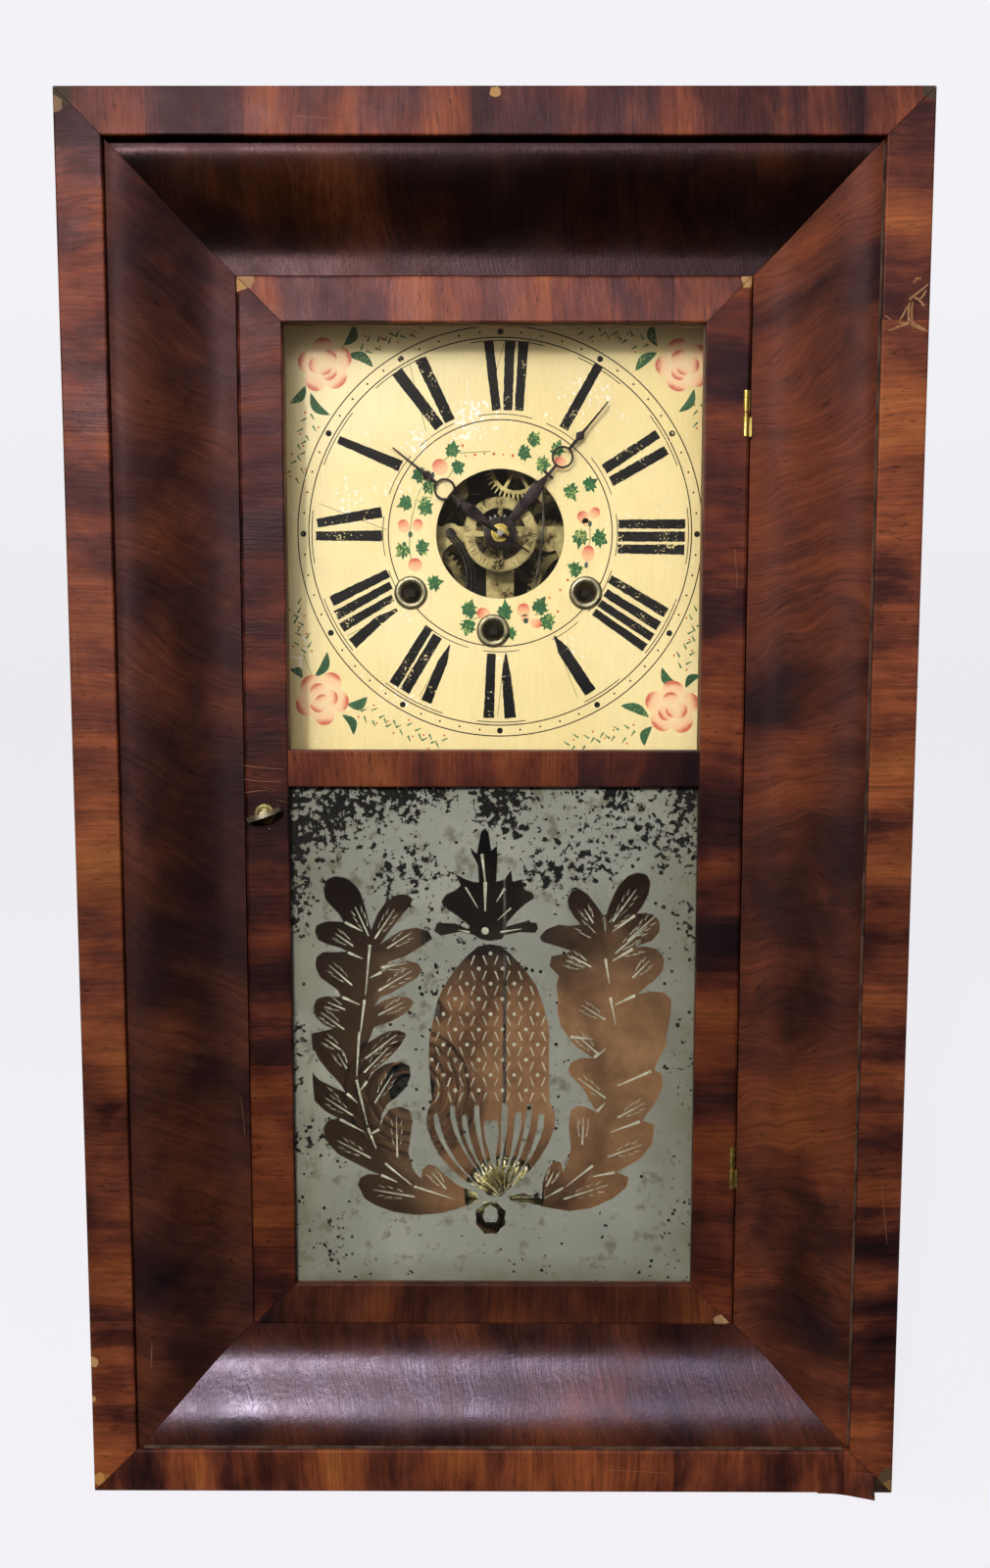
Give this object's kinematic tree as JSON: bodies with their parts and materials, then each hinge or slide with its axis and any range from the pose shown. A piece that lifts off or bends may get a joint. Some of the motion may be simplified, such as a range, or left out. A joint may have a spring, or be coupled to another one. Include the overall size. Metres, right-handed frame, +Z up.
{
  "type": "shelf clock",
  "caption": "Weight-driven ogee shelf clock: veneered moulded case, hinged glazed door, painted dial, hands, strike and going trains, pendulum, gong and falling weights.",
  "frame": {"origin": "middle of the case's underside, under the middle of its depth", "axes": "+Z up, -Y out of the dial towards the viewer, +X to the viewer's right"},
  "size_m": [0.394, 0.114, 0.664],
  "materials": {
    "veneer": "worn semi-gloss shellac on cross-banded veneer",
    "ogee_veneer": "worn semi-gloss shellac on crotch veneer",
    "softwood": "bare planed softwood, darkened with age",
    "door_veneer": "worn semi-gloss shellac on cross-banded veneer",
    "brass": "aged brass, dull polish",
    "bright_brass": "handled brass",
    "steel": "drawn steel wire, lightly tarnished",
    "blued_steel": "blue-black steel",
    "iron": "dark cast iron",
    "dial_paint": "aged cream oil paint with painted flowers",
    "clear_glass": "clear old glass",
    "tablet": "glass with worn grey-green paint and clear cut-outs",
    "cord": "twisted linen cord"
  },
  "bodies": {
    "case": {"case_boards": "veneer", "back_board": "softwood", "outer_band": "veneer", "ogee_left": "ogee_veneer", "ogee_right": "ogee_veneer", "ogee_top": "ogee_veneer", "ogee_bottom": "ogee_veneer", "channel_boards": "softwood", "mounting_cleats": "softwood", "dial_plate": "dial_paint", "dial_grommets": "bright_brass", "front_plate": "brass", "back_plate": "brass", "plate_pillars": "brass", "suspension_post": "brass", "gong_coil": "steel", "gong_base": "iron", "pulley_brackets": "iron", "cord_runs": "cord", "cord_drop_time": "cord", "cord_drop_strike": "cord", "hinge_case_leaves": "bright_brass"},
    "door": {"door_stiles": "door_veneer", "door_end_rails": "door_veneer", "door_middle_rail": "door_veneer", "upper_glass": "clear_glass", "tablet_glass": "tablet", "glass_beads": "softwood", "hinge_door_leaves": "bright_brass", "latch_rose": "bright_brass"},
    "latch": {"latch_knob": "bright_brass"},
    "centre": {"centre_arbor": "brass", "hand_washer": "bright_brass", "taper_pin": "steel"},
    "minute": {"cannon_pinion": "brass", "minute_hand": "blued_steel"},
    "hour": {"hour_wheel": "brass", "hour_hand": "blued_steel"},
    "minute_wheel": {"minute_wheel": "brass"},
    "alarm_disc": {"alarm_disc": "brass"},
    "great_time": {"great_wheel_time": "brass"},
    "drum_time": {"drum_time": "brass"},
    "weight_time": {"weight_time": "iron"},
    "pulley_time": {"pulley_time": "brass"},
    "great_strike": {"great_wheel_strike": "brass"},
    "drum_strike": {"drum_strike": "brass"},
    "weight_strike": {"weight_strike": "iron"},
    "pulley_strike": {"pulley_strike": "brass"},
    "second_wheel": {"second_wheel": "brass"},
    "third_wheel": {"third_wheel": "brass"},
    "escape_wheel": {"escape_wheel": "brass"},
    "verge": {"verge": "steel"},
    "pendulum": {"pendulum_rod": "steel", "pendulum_bob": "bright_brass"},
    "strike_wheel": {"strike_wheel": "brass"},
    "fly": {"fly": "brass"},
    "count_wheel": {"count_wheel": "brass"},
    "hammer": {"hammer": "steel"},
    "lifting_lever": {"lifting_lever": "steel"},
    "alarm_barrel": {"alarm_barrel": "brass"}
  },
  "joints": [
    {"name": "door_hinge", "type": "hinge", "parent": "case", "child": "door", "pos_m": [0.1182, -0.038, 0.332], "axis": [0, 0, 1], "range_deg": [0, 145]},
    {"name": "latch_turn", "type": "hinge", "parent": "door", "child": "latch", "pos_m": [-0.1106, -0.039, 0.335], "axis": [0, 1, 0], "range_deg": [-90, 0]},
    {"name": "minute_spin", "type": "hinge", "parent": "case", "child": "minute", "pos_m": [0.003, 0, 0.4712], "axis": [0, 1, 0], "continuous": true},
    {"name": "minute_wheel_spin", "type": "hinge", "parent": "case", "child": "minute_wheel", "pos_m": [0.003, 0, 0.46016], "axis": [0, 1, 0], "continuous": true},
    {"name": "hour_spin", "type": "hinge", "parent": "case", "child": "hour", "pos_m": [0.003, 0, 0.4712], "axis": [0, 1, 0], "continuous": true},
    {"name": "alarm_set", "type": "hinge", "parent": "hour", "child": "alarm_disc", "pos_m": [0.003, 0, 0.4712], "axis": [0, 1, 0], "continuous": true},
    {"name": "third_spin", "type": "hinge", "parent": "case", "child": "third_wheel", "pos_m": [0.02655, 0, 0.4929], "axis": [0, 1, 0], "continuous": true},
    {"name": "second_spin", "type": "hinge", "parent": "case", "child": "second_wheel", "pos_m": [0.02749, 0, 0.46892], "axis": [0, 1, 0], "continuous": true},
    {"name": "centre_spin", "type": "hinge", "parent": "case", "child": "centre", "pos_m": [0.003, 0, 0.4712], "axis": [0, 1, 0], "continuous": true},
    {"name": "great_time_spin", "type": "hinge", "parent": "case", "child": "great_time", "pos_m": [0.0454, 0, 0.4424], "axis": [0, 1, 0], "continuous": true},
    {"name": "escape_spin", "type": "hinge", "parent": "case", "child": "escape_wheel", "pos_m": [0.011, 0, 0.5052], "axis": [0, 1, 0], "continuous": true},
    {"name": "strike_spin", "type": "hinge", "parent": "case", "child": "strike_wheel", "pos_m": [-0.03026, 0, 0.47247], "axis": [0, 1, 0], "continuous": true},
    {"name": "great_strike_spin", "type": "hinge", "parent": "case", "child": "great_strike", "pos_m": [-0.0412, 0, 0.4424], "axis": [0, 1, 0], "continuous": true},
    {"name": "fly_spin", "type": "hinge", "parent": "case", "child": "fly", "pos_m": [-0.01826, 0, 0.49325], "axis": [0, 1, 0], "continuous": true},
    {"name": "count_spin", "type": "hinge", "parent": "case", "child": "count_wheel", "pos_m": [-0.0412, 0, 0.4424], "axis": [0, 1, 0], "continuous": true},
    {"name": "weight_time_drop", "type": "slide", "parent": "case", "child": "weight_time", "axis": [0, 0, 1], "range_m": [0, 0.4], "deforming": ["cord_drop_time"]},
    {"name": "drum_time_wind", "type": "hinge", "parent": "case", "child": "drum_time", "pos_m": [0.0454, 0, 0.4424], "axis": [0, 1, 0], "range_deg": [-1410, 0]},
    {"name": "pulley_time_turn", "type": "hinge", "parent": "case", "child": "pulley_time", "pos_m": [0.1383, 0.02, 0.625], "axis": [0, 1, 0], "range_deg": [-1410, 0]},
    {"name": "weight_strike_drop", "type": "slide", "parent": "case", "child": "weight_strike", "axis": [0, 0, 1], "range_m": [0, 0.4], "deforming": ["cord_drop_strike"]},
    {"name": "drum_strike_wind", "type": "hinge", "parent": "case", "child": "drum_strike", "pos_m": [-0.0412, 0, 0.4424], "axis": [0, 1, 0], "range_deg": [0, 1410]},
    {"name": "pulley_strike_turn", "type": "hinge", "parent": "case", "child": "pulley_strike", "pos_m": [-0.1383, 0.02, 0.625], "axis": [0, 1, 0], "range_deg": [0, 1410]},
    {"name": "pendulum_swing", "type": "hinge", "parent": "case", "child": "pendulum", "pos_m": [0.0056, 0, 0.4332], "axis": [0, 1, 0], "range_deg": [-4, 4]},
    {"name": "verge_rock", "type": "hinge", "parent": "case", "child": "verge", "pos_m": [0.011, 0, 0.5267], "axis": [0, 1, 0], "range_deg": [-1.3, 1.3]},
    {"name": "hammer_lift", "type": "hinge", "parent": "case", "child": "hammer", "pos_m": [-0.0561, 0, 0.48188], "axis": [0, -1, 0], "range_deg": [0, 14]},
    {"name": "lever_lift", "type": "hinge", "parent": "case", "child": "lifting_lever", "pos_m": [-0.022, 0, 0.4732], "axis": [0, 1, 0], "range_deg": [0, 6]},
    {"name": "alarm_wind", "type": "hinge", "parent": "case", "child": "alarm_barrel", "pos_m": [-0.0004, 0, 0.4237], "axis": [0, 1, 0], "range_deg": [0, 900]}
  ],
  "couplings": [
    {"joint": "minute_wheel_spin", "follows": "minute_spin", "ratio": -0.33333},
    {"joint": "hour_spin", "follows": "minute_spin", "ratio": 0.083333},
    {"joint": "second_spin", "follows": "third_spin", "ratio": -0.11111},
    {"joint": "centre_spin", "follows": "third_spin", "ratio": 0.11111},
    {"joint": "great_time_spin", "follows": "third_spin", "ratio": 0.015873},
    {"joint": "escape_spin", "follows": "third_spin", "ratio": -9.1667},
    {"joint": "great_strike_spin", "follows": "strike_spin", "ratio": -0.14286},
    {"joint": "fly_spin", "follows": "strike_spin", "ratio": -9},
    {"joint": "count_spin", "follows": "strike_spin", "ratio": -0.10256},
    {"joint": "drum_time_wind", "follows": "weight_time_drop", "rad_per_m": -61.35},
    {"joint": "pulley_time_turn", "follows": "weight_time_drop", "rad_per_m": -61.35},
    {"joint": "drum_strike_wind", "follows": "weight_strike_drop", "rad_per_m": 61.35},
    {"joint": "pulley_strike_turn", "follows": "weight_strike_drop", "rad_per_m": 61.35},
    {"joint": "verge_rock", "follows": "pendulum_swing", "ratio": 0.31}
  ]
}
